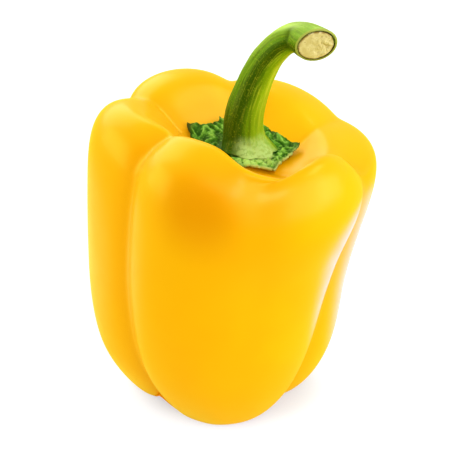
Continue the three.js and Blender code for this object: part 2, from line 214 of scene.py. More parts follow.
def overRings(stations):
    return np.interp(np.arange(len(ringNames)), fruit["grooveRings"], stations)


def grooveDepth(angle, s):
    shares = ringShares(s)
    depth = np.zeros(len(s))
    for groove in fruit["grooves"]:
        off = (angle - shares @ overRings(groove["at"]) + 180) % 360 - 180
        soft = shares @ overRings(groove["soft"])
        deep = shares @ (overRings(groove["deep"]) * ringSizes[:, 2])
        depth += deep * np.exp((soft - np.hypot(off, soft)) / groove["wide"])
    return depth * np.minimum(np.minimum(s, 1 - s) / fruit["grooveEnds"], 1)


def axisAt(s):
    t = (0.5 - 0.5 * np.cos(np.pi * s))[:, None]
    return (1 - t) * np.array(fruit["footAt"]) + t * np.array(fruit["topAt"])


# radius from the leaning axis and height of the skin, with the grooves pressed in square to it
def skinProfile(angle, s):
    radius, height = ringControls(angle)
    step = 0.004
    before = np.maximum(s - step, 0)
    after = np.minimum(s + step, 1)

    def along(values, at, mirror=1):
        return (ringShares(at, mirror) * values).sum(axis=1)

    runOut = along(radius, after, -1) - along(radius, before, -1)
    runUp = along(height, after) - along(height, before)
    run = np.maximum(np.hypot(runOut, runUp), 1e-9)
    press = grooveDepth(angle, s)
    return along(radius, s, -1) - press * runUp / run, along(height, s) + press * runOut / run


def skinPoints(angle, s):
    radius, height = skinProfile(angle, s)
    axis = axisAt(s)
    across = axis[:, 0] + radius * np.cos(np.radians(angle))
    back = axis[:, 1] + radius * np.sin(np.radians(angle))
    return np.column_stack((across, back, height))


# height of the skin in the dimple over each place, found by halving s between lip and middle
def dimpleHeight(x, y):
    low = np.full(len(x), fruit["dimpleFrom"])
    high = np.ones(len(x))
    for _ in range(22):
        s = (low + high) / 2
        away = np.column_stack((x, y)) - axisAt(s)
        angle = np.degrees(np.arctan2(away[:, 1], away[:, 0]))
        radius, height = skinProfile(angle, s)
        inside = radius > np.hypot(away[:, 0], away[:, 1])
        low = np.where(inside, s, low)
        high = np.where(inside, high, s)
    return height


def makeFruit(material):
    angles = np.arange(fruit["sides"]) * 360 / fruit["sides"]
    ripple = fruit["ripple"]
    rows, grooves, levels = [], [], []
    for k in range(fruit["rows"] + 1):
        s = k / fruit["rows"]
        turn = angles if 0 < k < fruit["rows"] else np.zeros(1)
        level = np.full(len(turn), s)
        points = skinPoints(turn, level)
        swell = lumps(points, ripple["size"], seed=2) * ripple["depth"]
        fade = smoothStep(points[:, 2], *ripple["starts"]) * min(1, min(s, 1 - s) / ripple["ends"])
        out = points - np.column_stack((axisAt(level), np.full(len(turn), ripple["middle"])))
        out /= np.linalg.norm(out, axis=1, keepdims=True)
        points = points + out * (swell * fade)[:, None]
        points[:, 2] = np.maximum(points[:, 2], 0)
        rows.append(points)
        grooves.append(grooveDepth(turn, level))
        levels.append(level)
    marks = {"groove": grooves, "along": levels}
    finishMesh("fruitSkin", rows, "fruit", material, marks)


# Calyx

calyx = {
    "middle": (3.9, 0.8),
    "gap": 0.45,
    # pointed lobes: direction and reach of each tip
    "tips": ((11, 16.5), (60, 11.6), (121, 14.6), (158, 18.5), (208, 14.5), (256, 13.5), (307, 14)),
    "notch": {"reach": 0.84, "round": 0.8},
    "thick": {"middle": 1.3, "edge": 0.75, "thinsFrom": 0.55},
    # short folds, which twist, wave and sway on their way outwards, and bent veins across them
    "pucker": {"height": 0.5, "from": 8.2, "to": 10.5, "foldShadeShare": 0.65},
    "folds": {"count": 7, "twist": 0.9, "waves": 1.5, "sway": 2, "sways": 3},
    "veins": {"count": 12, "bend": 0.5},
    "curl": {"edge": 0.4, "edgeFrom": 0.8, "tip": 0.7, "from": 12.5, "to": 18},
    # fine crumples: where they start, how much flatter the edge is and their share on the under face
    "leafy": {"starts": (7.5, 9.5), "edgeFrom": 0.85, "edgeLess": 0.5, "under": 0.8},
    "crumple": {"size": 2.4, "height": 0.75},
    "crinkle": {"size": 1, "height": 0.28},
    "ragged": {"share": 0.07, "size": 0.9, "radius": 10},
    # marks for the material. The crease shading, painted shade in the hollows and painted highlight on the
    # raised folds, has the folds' full height and the pucker's share in it. The others have the side that
    # they are on, how narrow they are there and their reach.
    "creaseShading": {"full": 0.9, "puckerShare": 0.4},
    "pale": {"at": 292, "narrow": (0.84, 0.98), "ends": (10, 13.5)},
    "rim": {"at": 318, "narrow": (0.8, 0.95), "starts": (0.93, 0.98)},
    "dryTip": {"at": 158, "narrow": (0.9, 1), "starts": (15.4, 17.4)},
    "sides": 420,
    "rows": 56,
    "rowsCrowd": 0.75,
}


def calyxReach(angle):
    tips = np.array(calyx["tips"], float)
    at = np.append(tips[:, 0], tips[0, 0] + 360)
    reach = np.append(tips[:, 1], tips[0, 1])
    turn = (angle - at[0]) % 360 + at[0]
    k = np.clip(np.searchsorted(at, turn, side="right") - 1, 0, len(tips) - 1)
    t = (turn - at[k]) / (at[k + 1] - at[k])
    notch = (4 * t * (1 - t)) ** calyx["notch"]["round"]
    return (reach[k] * (1 - t) + reach[k + 1] * t) * (1 - (1 - calyx["notch"]["reach"]) * notch)


def pucker(angle, reach):
    relief, folds, veins = calyx["pucker"], calyx["folds"], calyx["veins"]
    turn = np.radians(angle)
    sway = folds["sway"] * np.sin(folds["sways"] * turn)
    fold = np.sin(folds["count"] * turn + folds["twist"] * reach) * np.cos(folds["waves"] * reach + sway)
    vein = np.cos(veins["count"] * turn + veins["bend"] * np.sin(reach))
    start = smoothStep(reach, relief["from"], relief["to"])
    return relief["height"] * (relief["foldShadeShare"] * fold + (1 - relief["foldShadeShare"]) * vein) * start


# place of the calyx's under and upper face, without the fine crumples
def calyxFaces(angle, reach):
    x = calyx["middle"][0] + reach * np.cos(np.radians(angle))
    y = calyx["middle"][1] + reach * np.sin(np.radians(angle))
    edge = reach / calyxReach(angle)
    curl, thick = calyx["curl"], calyx["thick"]
    tipLift = curl["tip"] * smoothStep(reach, curl["from"], curl["to"])
    lift = tipLift + curl["edge"] * smoothStep(edge, curl["edgeFrom"], 1)
    relief = np.maximum(pucker(angle, reach), 0)
    under = dimpleHeight(x, y) + calyx["gap"] + lift + relief
    thin = smoothStep(edge, thick["thinsFrom"], 1)
    upper = under + (thick["middle"] + (thick["edge"] - thick["middle"]) * thin)
    return x, y, under, upper, edge


def makeCalyx(material):
    angles = np.arange(calyx["sides"]) * 360 / calyx["sides"]
    ragged, pale, rim, dry = calyx["ragged"], calyx["pale"], calyx["rim"], calyx["dryTip"]
    leaf, creaseShading = calyx["leafy"], calyx["creaseShading"]
    around = np.radians(angles)
    circle = np.column_stack((np.cos(around), np.sin(around), np.zeros(len(around)))) * ragged["radius"]
    nibbled = 1 - ragged["share"] * np.abs(lumps(circle, ragged["size"], seed=9))
    under, upper = [], []
    marks = {"creaseShading": [], "pale": [], "rim": [], "dry": []}
    for k in range(calyx["rows"] + 1):
        share = (k / calyx["rows"]) ** calyx["rowsCrowd"]
        turn = angles if k else np.zeros(1)
        reach = share * calyxReach(turn) * (1 + (nibbled[:len(turn)] - 1) * share)
        x, y, low, high, edge = calyxFaces(turn, reach)
        flat = np.column_stack((x, y, np.zeros(len(x))))
        flatter = leaf["edgeLess"] * smoothStep(edge, leaf["edgeFrom"], 1)
        leafy = smoothStep(reach, *leaf["starts"]) * (1 - flatter)
        crumple = calyx["crumple"]["height"] * creases(flat, calyx["crumple"]["size"], seed=4)
        crinkle = calyx["crinkle"]["height"] * creases(flat, calyx["crinkle"]["size"], seed=5)
        fine = (crumple + crinkle) * leafy
        under.append(np.column_stack((x, y, low + fine * leaf["under"])))
        upper.append(np.column_stack((x, y, high + fine)))
        # height of the folds and crumples, for the painted shade in the hollows and painted highlight on
        # the raised folds
        raised = pucker(turn, reach) * creaseShading["puckerShare"] + fine
        marks["creaseShading"].append(raised / creaseShading["full"])
        inner = 1 - smoothStep(reach, *pale["ends"])
        marks["pale"].append(facing(turn, pale["at"], *pale["narrow"]) * inner)
        marks["rim"].append(facing(turn, rim["at"], *rim["narrow"]) * smoothStep(edge, *rim["starts"]))
        marks["dry"].append(facing(turn, dry["at"], *dry["narrow"]) * smoothStep(reach, *dry["starts"]))
    marks = {name: rows + rows[::-1] for name, rows in marks.items()}
    finishMesh("calyxLeaf", under + upper[::-1], "calyx", material, marks)


# Stem

stem = {
    # route from the middle of the calyx to the middle of the cut, with the radius at each point
    "path": (
        (3.9, 0.8, 85.2, 5.6),
        (3.4, 0.8, 92.3, 5.5),
        (4.1, 0.5, 98.2, 5.2),
        (5.9, 0, 104.5, 4.8),
        (7.9, -1, 110.3, 4.45),
        (10.6, -2.6, 116.2, 4.2),
        (14.6, -5.5, 121.8, 4.05),
        (18.8, -9, 124.7, 4.25),
        (22.9, -13, 124.3, 4.9),
    ),
    "foot": {"radius": 6.1, "swell": 3.2, "swellAt": 315, "ridge": 0.6, "ridges": 8,
             "lip": 0.3, "height": 6.5, "rows": 26, "hollow": 2.4, "knobs": 0.45, "knobSize": 1.7},
    "ribs": {"count": 6, "height": 0.22, "fadeFrom": 0.5},
    # fine ridges along the stem: height, width round it and length along it
    "lines": {"height": 0.1, "round": 0.1, "along": 0.13},
    "pinch": {"depth": 0.55, "at": 0.875, "half": 0.035, "side": 225, "narrow": (0.45, 1)},
    "turnFrom": 0.62,
    "cutNormal": (0.25, -0.96, -0.12),
    "cutRim": {"wide": 5.9, "tall": 5.1, "from": 0.82},
    "cutHollow": {"wide": 5.35, "tall": 4.55, "aside": -0.2, "down": 0.2, "looseAt": 35, "loose": 0.04},
    "cutDeep": 1.9,
    "sides": 144,
    "rows": 190,
    # marks for the material: the side that each one is on, how narrow it is there and where along the stem
    # the lit side of the painted light and shade round the stem
    "lightAt": 0,
    "pale": {"at": 298, "narrow": (0.72, 0.97), "ends": (0.035, 0.125)},
    # a painted highlight, pale on the top of the bend
    "topHighlight": {"at": 115, "narrow": (0.35, 0.95), "starts": (0.4, 0.72)},
    "grainLength": 8,
}
stemPath = np.array(stem["path"], float)
cutNormal = np.array(stem["cutNormal"]) / np.linalg.norm(stem["cutNormal"])
cutLevel = np.cross((0, 0, 1), cutNormal)
cutLevel /= np.linalg.norm(cutLevel)
cutSteep = np.cross(cutNormal, cutLevel)


# point of the stem's route, for t from 0 at the foot to 1 at the cut
def stemPoint(t):
    route = stemPath[:, :3]
    route = np.vstack((2 * route[0] - route[1], route, 2 * route[-1] - route[-2]))
    place = t * (len(stemPath) - 1)
    k = min(int(place), len(stemPath) - 2)
    u = place - k
    before, start, end, after = route[k : k + 4]
    leave = 0.5 * (end - before)
    arrive = 0.5 * (after - start)
    rise = -3 * start + 3 * end - 2 * leave - arrive
    bend = 2 * start - 2 * end + leave + arrive
    return start + leave * u + rise * u**2 + bend * u**3


def stemRadius(t):
    return np.interp(t * (len(stemPath) - 1), np.arange(len(stemPath)), stemPath[:, 3])


def stemFrames(ts):
    across = np.array((1.0, 0.0, 0.0))
    frames = []
    for t in ts:
        ahead = stemPoint(min(t + 1e-4, 1)) - stemPoint(max(t - 1e-4, 0))
        turn = float(smoothStep(t, stem["turnFrom"], 1))
        along = ahead / np.linalg.norm(ahead) * (1 - turn) + cutNormal * turn
        along /= np.linalg.norm(along)
        across = across - along * across.dot(along)
        across /= np.linalg.norm(across)
        beside = np.cross(along, across)
        flare = float(smoothStep(t, stem["cutRim"]["from"], 1))
        frames.append({"centre": stemPoint(t), "across": across, "beside": beside, "flare": flare})
    return frames


turns = np.arange(stem["sides"]) * 2 * np.pi / stem["sides"]


# ring of the stem, turning from a round section into the oval of the cut
def stemRing(place, radius, wide, tall, ribs=0.0):
    out = np.outer(np.cos(turns), place["across"]) + np.outer(np.sin(turns), place["beside"])
    ribbed = radius + ribs
    offset = out * np.reshape(ribbed, (-1, 1))
    offset += np.outer(place["flare"] * (wide - ribbed) * (out @ cutLevel), cutLevel)
    offset += np.outer(place["flare"] * (tall - ribbed) * (out @ cutSteep), cutSteep)
    return place["centre"] + offset


def hollowPlace():
    place = stemFrames([1.0])[0]
    hollow = stem["cutHollow"]
    place["centre"] = place["centre"] + cutLevel * hollow["aside"] - cutSteep * hollow["down"]
    return place


# rows under the flared foot, over the calyx, and up the flare to the round stem
def stemFootRows(first):
    foot = stem["foot"]
    angle = np.degrees(turns)
    outward = np.column_stack((np.cos(turns), np.sin(turns), np.zeros(len(turns))))
    side = 0.5 + 0.5 * np.cos(np.radians(angle - foot["swellAt"]))
    ridges = foot["ridge"] * np.cos(np.radians(foot["ridges"] * angle))
    hem = foot["radius"] + (foot["swell"] + ridges) * side

    def onCalyx(reach, lift):
        x, y, _, upper, _ = calyxFaces(angle, reach)
        return np.column_stack((x, y, upper + calyx["gap"] + lift))

    rows = [onCalyx(np.zeros(len(angle)), 0)[:1]]
    rows += [onCalyx(share * hem, 0) for share in (0.25, 0.5, 0.75, 1)]
    low = onCalyx(hem, foot["lip"])
    for k in range(foot["rows"]):
        t = k / foot["rows"]
        row = first + (low - first) * (1 - t) ** foot["hollow"]
        row[:, 2] = low[:, 2] * (1 - t) + first[:, 2] * t
        knobs = foot["knobs"] * lumps(row, foot["knobSize"], seed=12) * math.sin(math.pi * t) * side
        rows.append(row + knobs[:, None] * outward)
    return rows


def stemMarks(rows, heights, folds):
    angle = np.degrees(turns)
    pale, topHighlight = stem["pale"], stem["topHighlight"]
    paleSide = facing(angle, pale["at"], *pale["narrow"])
    # side of the painted highlight on the top of the bend
    topHighlightSide = facing(angle, topHighlight["at"], *topHighlight["narrow"])
    # the shade mark for the painted light and shade: 1 on the lit side, 0 on the shaded side
    lightSide = facing(angle, stem["lightAt"])
    marks = {"along": [], "grain": [], "inside": [], "pale": [], "shade": [], "topHighlight": [], "fold": folds}
    for k, (row, t) in enumerate(zip(rows, heights)):
        few = len(row)
        height = np.full(len(turns), stem["grainLength"] * t)
        grain = np.column_stack((np.cos(turns), np.sin(turns), height))
        marks["along"].append(np.full(few, t))
        marks["grain"].append(grain[:few])
        marks["inside"].append(np.full(few, float(k >= len(rows) - 3)))
        marks["pale"].append((paleSide * (1 - smoothStep(t, *pale["ends"])))[:few])
        marks["shade"].append(lightSide[:few])
        marks["topHighlight"].append((topHighlightSide * smoothStep(t, *topHighlight["starts"]))[:few])
    return marks


# rows of the hollow in the cut: its rim, looser on one side, then its wall and its floor
def hollowRows():
    mouth = hollowPlace()
    hollow = stem["cutHollow"]
    inner = stemRing(mouth, 0, hollow["wide"], hollow["tall"])
    loose = 1 + hollow["loose"] * np.cos(turns - math.radians(hollow["looseAt"]))
    inner = mouth["centre"] + (inner - mouth["centre"]) * loose[:, None]
    deep = cutNormal * stem["cutDeep"]
    return [inner, inner - deep, (mouth["centre"] - deep).reshape(1, 3)]


def makeStem(material):
    steps = 200
    length = sum(np.linalg.norm(stemPoint((k + 1) / steps) - stemPoint(k / steps)) for k in range(steps))
    start = stem["foot"]["height"] / length
    ts = np.linspace(start, 1, stem["rows"])
    rim, rib, lines, pinch = stem["cutRim"], stem["ribs"], stem["lines"], stem["pinch"]
    rings, folds = [], []
    for t, place in zip(ts, stemFrames(ts)):
        height = np.full(len(turns), t / lines["along"] * lines["round"])
        grain = np.column_stack((np.cos(turns), np.sin(turns), height))
        ribs = rib["height"] * np.cos(rib["count"] * turns)
        ribs = ribs + lines["height"] * lumps(grain, lines["round"], seed=3)
        near = np.exp(-(((t - pinch["at"]) / pinch["half"]) ** 2))
        pinched = near * facing(np.degrees(turns), pinch["side"], *pinch["narrow"])
        ribs = ribs * (1 - smoothStep(place["flare"], rib["fadeFrom"], 1)) - pinch["depth"] * pinched
        rings.append(stemRing(place, stemRadius(t), rim["wide"], rim["tall"], ribs))
        # the pinch's place, where the material paints shade in the fold
        folds.append(pinched)
    footRows = stemFootRows(rings[0])
    inside = hollowRows()
    rise = np.linspace(0, start, len(footRows) + 1)[:-1]
    heights = np.concatenate((rise, ts, np.ones(len(inside))))
    folds = [np.zeros(len(row)) for row in footRows] + folds + [np.zeros(len(row)) for row in inside]
    rows = footRows + rings + inside
    finishMesh("stemStalk", rows, "stem", material, stemMarks(rows, heights, folds))


# Pith in the cut

pith = {
    "gap": 0.3,
    "proud": 0.15,
    "dome": 0.3,
    "edge": 0.2,
    "ragged": {"share": 0.05, "size": 1.1},
    "rough": {"height": 0.5, "size": 1.3, "fineSize": 0.52, "fineShare": 0.5, "starts": (-4, 4)},
    "rows": 32,
}


def makePith(material):
    ragged, rough = pith["ragged"], pith["rough"]
    mouth = hollowPlace()
    centre = mouth["centre"]
    wide = stem["cutHollow"]["wide"] - pith["gap"]
    tall = stem["cutHollow"]["tall"] - pith["gap"]
    outer = stemRing(mouth, 0, wide, tall)
    nibbled = 1 - ragged["share"] * np.abs(lumps(outer, ragged["size"], seed=8))
    outer = centre + (outer - centre) * nibbled[:, None]
    deep = cutNormal * (pith["gap"] - stem["cutDeep"])
    rows = [(centre + deep).reshape(1, 3), outer + deep, outer + cutNormal * (pith["proud"] - pith["edge"])]
    spread = [np.zeros(1), np.ones(len(outer)), np.ones(len(outer))]
    bumps = [np.zeros(1), np.zeros(len(outer)), np.zeros(len(outer))]
    for k in range(1, pith["rows"] + 1):
        share = 1 - k / pith["rows"]
        ring = centre + (outer - centre) * share if share else centre.reshape(1, 3)
        torn = lumps(ring, rough["size"], seed=7)
        torn = torn + rough["fineShare"] * lumps(ring, rough["fineSize"], seed=6)
        # rougher towards the right, and smooth at the edge
        torn *= (1 - share**6) * smoothStep((ring - centre) @ cutLevel, *rough["starts"])
        lift = pith["proud"] + pith["dome"] * (1 - share**2) + rough["height"] * torn
        rows.append(ring + np.outer(lift, cutNormal))
        spread.append(np.full(len(ring), share))
        bumps.append(torn)
    marks = {"spread": spread, "bumps": bumps}
    finishMesh("cutPith", rows, "cut_end", material, marks)


# Materials

# a material with its fixed finish
def newMaterial(name, finish):
    material = bpy.data.materials.new(name)
    material.use_nodes = True
    shader = material.node_tree.nodes["Principled BSDF"]
    for socket, value in finish.items():
        shader.inputs[socket].default_value = value
    return material, material.node_tree, shader


def addNode(net, kind, **settings):
    node = net.nodes.new(kind)
    for key, value in settings.items():
        setattr(node, key, value)
    return node


# links a socket to another one, or gives it a fixed value
def feed(net, socket, value):
    if isinstance(value, bpy.types.NodeSocket):
        net.links.new(value, socket)
    else:
        socket.default_value = value


def markOf(net, name, output="Fac"):
    return addNode(net, "ShaderNodeAttribute", attribute_name=name).outputs[output]


def mixOf(net, share, first, second):
    node = addNode(net, "ShaderNodeMix", data_type="RGBA")
    for socket, value in zip((node.inputs[0], node.inputs[6], node.inputs[7]), (share, first, second)):
        feed(net, socket, value)
    return node.outputs[2]


def rangeOf(net, value, low, high, start=0.0, end=1.0):
    node = addNode(net, "ShaderNodeMapRange", interpolation_type="SMOOTHSTEP")
    sockets = ("Value", "From Min", "From Max", "To Min", "To Max")
    for name, given in zip(sockets, (value, low, high, start, end)):
        feed(net, node.inputs[name], given)
    return node.outputs["Result"]


def timesOf(net, first, second):
    node = addNode(net, "ShaderNodeMath", operation="MULTIPLY")
    feed(net, node.inputs[0], first)
    feed(net, node.inputs[1], second)
    return node.outputs[0]


def vectorOf(net, operation, first, second=None):
    node = addNode(net, "ShaderNodeVectorMath", operation=operation)
    net.links.new(first, node.inputs[0])
    if second is not None:
        node.inputs[1].default_value = second
    return node.outputs["Value" if operation in ("DISTANCE", "DOT_PRODUCT", "LENGTH") else "Vector"]


def objectPlace(net):
    return addNode(net, "ShaderNodeTexCoord").outputs["Object"]


# noise in lumps of the look's size in mm, or in the units of the mark that it follows
def noiseOf(net, look, place=None):
    unit = mm if place is None else 1
    turn = addNode(net, "ShaderNodeMapping")
    stretch = look.get("stretch", (1, 1, 1))
    turn.inputs["Scale"].default_value = [share / (look["size"] * unit) for share in stretch]
    net.links.new(place or objectPlace(net), turn.inputs["Vector"])
    node = addNode(net, "ShaderNodeTexNoise")
    node.inputs["Scale"].default_value = 1
    node.inputs["Detail"].default_value = look.get("detail", 3)
    node.inputs["Roughness"].default_value = look.get("rough", 0.55)
    net.links.new(turn.outputs[0], node.inputs["Vector"])
    return node.outputs["Fac"]


# patches of noise, which rise from one value to another as the noise goes through a span
def patchesOf(net, look, place=None):
    return rangeOf(net, noiseOf(net, look, place), *look["span"], *look["values"])


def addBump(net, shader, look, place=None):
    node = addNode(net, "ShaderNodeBump")
    node.inputs["Strength"].default_value = look["strength"]
    node.inputs["Distance"].default_value = look["deep"] * mm
    net.links.new(noiseOf(net, look, place), node.inputs["Height"])
    net.links.new(node.outputs["Normal"], shader.inputs["Normal"])


skinLook = {
    "yellow": (0.9, 0.435, 0.001, 1),
    "warm": (0.9, 0.395, 0.001, 1),
    # the colour of the painted shade deep in the grooves
    "grooveShadeOrange": (0.84, 0.3, 0.001, 1),
    "scar": (0.2, 0.1, 0.03, 1),
    "warmPatches": {"size": 22, "detail": 2, "span": (0.4, 0.65), "values": (0, 0.5)},
    # a deeper patch high on the front, partly the skin's own blush and partly painted shade where the front
    # mirrors the dark corner: its middle, how far it reaches and how strong it is
    "flushAndShade": {"at": (-9, -32, 84), "reach": (3, 19), "shares": (0.85, 0), "colour": (0.8, 0.31, 0.001, 1)},
    # painted shade deep in the grooves: the groove depths over which it comes in, and its shares
    "grooves": {"depth": (1.5, 7.5), "shares": (0, 0.5)},
    "scarEdge": {"along": (0.004, 0.02), "shares": (0.9, 0)},
    "roughness": {"size": 9, "span": (0.3, 0.7), "values": (0.285, 0.36)},
    "pores": {"size": 0.8, "detail": 1, "deep": 0.008, "strength": 0.3},
    "finish": {
        "IOR": 1.4,
        "Specular IOR Level": 1,
        "Specular Tint": (1, 0.86, 0.25, 1),
        "Coat Weight": 0.3,
        "Coat Roughness": 0.12,
        "Coat IOR": 1.2,
    },
}


def makeFruitSkin():
    look = skinLook
    material, net, shader = newMaterial("fruitSkin", look["finish"])
    colour = mixOf(net, patchesOf(net, look["warmPatches"]), look["yellow"], look["warm"])
    # painted shade, partly the skin's own blush: a deeper patch high on the front
    flushAndShade = look["flushAndShade"]
    away = vectorOf(net, "DISTANCE", objectPlace(net), [length * mm for length in flushAndShade["at"]])
    flushAndShadeShare = rangeOf(net, away, *[length * mm for length in flushAndShade["reach"]], *flushAndShade["shares"])
    colour = mixOf(net, flushAndShadeShare, colour, flushAndShade["colour"])
    # painted shade: a deeper colour deep in the grooves
    grooveShade = rangeOf(net, markOf(net, "groove"), *look["grooves"]["depth"], *look["grooves"]["shares"])
    colour = mixOf(net, grooveShade, colour, look["grooveShadeOrange"])
    atScar = rangeOf(net, markOf(net, "along"), *look["scarEdge"]["along"], *look["scarEdge"]["shares"])
    colour = mixOf(net, atScar, colour, look["scar"])
    net.links.new(colour, shader.inputs["Base Color"])
    net.links.new(patchesOf(net, look["roughness"]), shader.inputs["Roughness"])
    addBump(net, shader, look["pores"])
    return material


calyxLook = {
    # the colour of the painted shade in the leaf's hollows
    "shadedGreen": (0.008, 0.07, 0.002, 1),
    "green": (0.05, 0.2, 0.012, 1),
    # the colour of the painted highlight on the raised folds, also of the random flecks
    "light": (0.28, 0.58, 0.12, 1),
    "pale": (0.44, 0.68, 0.24, 1),
    "rim": (0.5, 0.62, 0.28, 1),
    "dry": (0.05, 0.06, 0.01, 1),
    # heights of the creases between which the leaf turns from the painted shade of its hollows to green,
    # and then to the painted highlight of its raised folds
    "greenCreases": (0.1, 0.6),
    "highlightCreases": (0.5, 1.05),
    "flecks": {"size": 0.9, "span": (0.5, 0.72), "values": (0, 0.5)},
    "paleBlotches": {"size": 1.6, "span": (0.35, 0.55), "values": (0, 1)},
    "rimShare": 0.85,
    "roughness": {"size": 1.2, "span": (0.3, 0.7), "values": (0.35, 0.55)},
    "wrinkles": {"size": 0.4, "deep": 0.07, "strength": 0.7},
    "finish": {
        "Specular IOR Level": 0.3,
        "Specular Tint": (0.75, 1, 0.4, 1),
        "Subsurface Weight": 0.08,
        "Subsurface Radius": (0.4, 1, 0.2),
        "Subsurface Scale": 0.0012,
    },
}


def makeCalyxGreen():
    look = calyxLook
    material, net, shader = newMaterial("calyxGreen", look["finish"])
    # painted shade in the hollows and painted highlight on the raised folds, by the folds' height
    creaseShading = markOf(net, "creaseShading")
    colour = mixOf(net, rangeOf(net, creaseShading, *look["greenCreases"]), look["shadedGreen"], look["green"])
    colour = mixOf(net, rangeOf(net, creaseShading, *look["highlightCreases"]), colour, look["light"])
    colour = mixOf(net, patchesOf(net, look["flecks"]), colour, look["light"])
    pale = timesOf(net, markOf(net, "pale"), patchesOf(net, look["paleBlotches"]))
    colour = mixOf(net, pale, colour, look["pale"])
    colour = mixOf(net, timesOf(net, markOf(net, "rim"), look["rimShare"]), colour, look["rim"])
    colour = mixOf(net, markOf(net, "dry"), colour, look["dry"])
    net.links.new(colour, shader.inputs["Base Color"])
    net.links.new(patchesOf(net, look["roughness"]), shader.inputs["Roughness"])
    addBump(net, shader, look["wrinkles"])
    return material


stemLook = {
    # the colour of the painted shade on the stem's shaded side
    "shadedGreen": (0.02, 0.075, 0.001, 1),
    "green": (0.085, 0.225, 0.003, 1),
    # the colour of the painted light on the stem's lit side
    "litYellowGreen": (0.27, 0.44, 0.008, 1),
    "line": (0.45, 0.56, 0.05, 1),
    # the deep lines' colour, also the painted shade in the pinched fold
    "deepLineAndShade": (0.025, 0.085, 0.002, 1),
    # the colour of the painted highlight on the top of the bend
    "topHighlight": (0.42, 0.66, 0.2, 1),
    "pale": (0.4, 0.58, 0.28, 1),
    # the colour of the painted shade at the bottom of the flared foot, where it meets the calyx
    "collarShade": (0.03, 0.12, 0.006, 1),
    "rim": (0.4, 0.46, 0.14, 1),
    "inside": (0.1, 0.075, 0.02, 1),
    # lines and blotches drawn out along the stem, which follow its own grain; the blotches carry the
    # painted highlight on the top of the bend
    "lines": {"size": 0.11, "stretch": (1, 1, 0.07), "detail": 2, "span": (0.5, 0.66), "values": (0, 0.8)},
    "deepLines": {"size": 0.14, "stretch": (1, 1, 0.06), "detail": 2,
                  "span": (0.36, 0.5), "values": (0.85, 0)},
    "highlightBlotches": {"size": 0.5, "stretch": (1, 1, 0.5), "span": (0.35, 0.65), "values": (0.5, 0.95)},
    "roughness": {"size": 0.2, "stretch": (1, 1, 0.2), "span": (0.3, 0.7), "values": (0.34, 0.5)},
    "ridges": {"size": 0.08, "stretch": (1, 1, 0.1), "deep": 0.08, "strength": 0.8},
    "specks": {"size": 0.5, "detail": 2, "span": (0.54, 0.72), "values": (0, 0.32)},
    "bossBlotches": {"size": 1.1, "span": (0.36, 0.55), "values": (0.55, 1)},
    # share of the painted shade in the pinched fold
    "foldShadeShare": 0.85,
    # painted light and shade round the stem: how a colour's share changes round it, from its painted shaded
    # side at 0 to its painted lit side at 1, with the grain's pale lines stronger on the lit side and its
    # deep lines on the shaded side
    "bySide": {
        "litLeftRim": ((0.01, 0.08), (1, 0)),
        "green": ((0.32, 0.62), (0, 1)),
        "yellow": ((0.4, 0.95), (0, 1)),
        "lines": ((0.1, 0.9), (0.25, 1)),
        "deepLines": ((0.2, 1), (1, 0.25)),
    },
    # and how it changes along the stem, from the foot at 0 to the cut at 1
    "byHeight": {
        "litLeftRim": ((0.12, 0.4), (0, 1)),
        "yellow": ((0.1, 0.6), (0.45, 1)),
        "lines": ((0.15, 0.55), (0.35, 1)),
        # where the painted shade at the bottom of the flared foot reaches along the stem
        "collarShade": ((0.005, 0.045), (0.85, 0)),
        "rim": ((0.993, 0.999), (0, 0.9)),
    },
    "finish": {
        "Specular IOR Level": 0.3,
        "Specular Tint": (0.75, 1, 0.35, 1),
        "Subsurface Weight": 0.06,
        "Subsurface Radius": (0.5, 1, 0.15),
        "Subsurface Scale": 0.0015,
    },
}


def makeStemGreen():
    look = stemLook
    material, net, shader = newMaterial("stemGreen", look["finish"])
    grain = markOf(net, "grain", "Vector")
    shade, along = markOf(net, "shade"), markOf(net, "along")

    def bySide(name):
        span, shares = look["bySide"][name]
        return rangeOf(net, shade, *span, *shares)

    def byHeight(name):
        span, shares = look["byHeight"][name]
        return rangeOf(net, along, *span, *shares)

    # painted shade on the shaded side of the stem, a painted lit rim on its left and painted yellow-green
    # light on its lit side
    litLeftRim = timesOf(net, bySide("litLeftRim"), byHeight("litLeftRim"))
    colour = mixOf(net, litLeftRim, look["shadedGreen"], look["green"])
    colour = mixOf(net, bySide("green"), colour, look["green"])
    colour = mixOf(net, timesOf(net, bySide("yellow"), byHeight("yellow")), colour, look["litYellowGreen"])
    lines = timesOf(net, patchesOf(net, look["lines"], grain), byHeight("lines"))
    colour = mixOf(net, timesOf(net, lines, bySide("lines")), colour, look["line"])
    deepLines = timesOf(net, patchesOf(net, look["deepLines"], grain), bySide("deepLines"))
    colour = mixOf(net, deepLines, colour, look["deepLineAndShade"])
    colour = mixOf(net, patchesOf(net, look["specks"]), colour, look["line"])
    # painted highlight: pale green in blotches on the top of the bend
    topHighlight = timesOf(net, markOf(net, "topHighlight"), patchesOf(net, look["highlightBlotches"], grain))
    colour = mixOf(net, topHighlight, colour, look["topHighlight"])
    # painted shade at the bottom of the flared foot, where it meets the calyx
    colour = mixOf(net, byHeight("collarShade"), colour, look["collarShade"])
    boss = timesOf(net, markOf(net, "pale"), patchesOf(net, look["bossBlotches"]))
    colour = mixOf(net, boss, colour, look["pale"])
    # painted shade in the pinched fold
    colour = mixOf(net, timesOf(net, markOf(net, "fold"), look["foldShadeShare"]), colour, look["deepLineAndShade"])
    colour = mixOf(net, byHeight("rim"), colour, look["rim"])
    colour = mixOf(net, markOf(net, "inside"), colour, look["inside"])
    net.links.new(colour, shader.inputs["Base Color"])
    net.links.new(patchesOf(net, look["roughness"], grain), shader.inputs["Roughness"])
    addBump(net, shader, look["ridges"], grain)
    return material


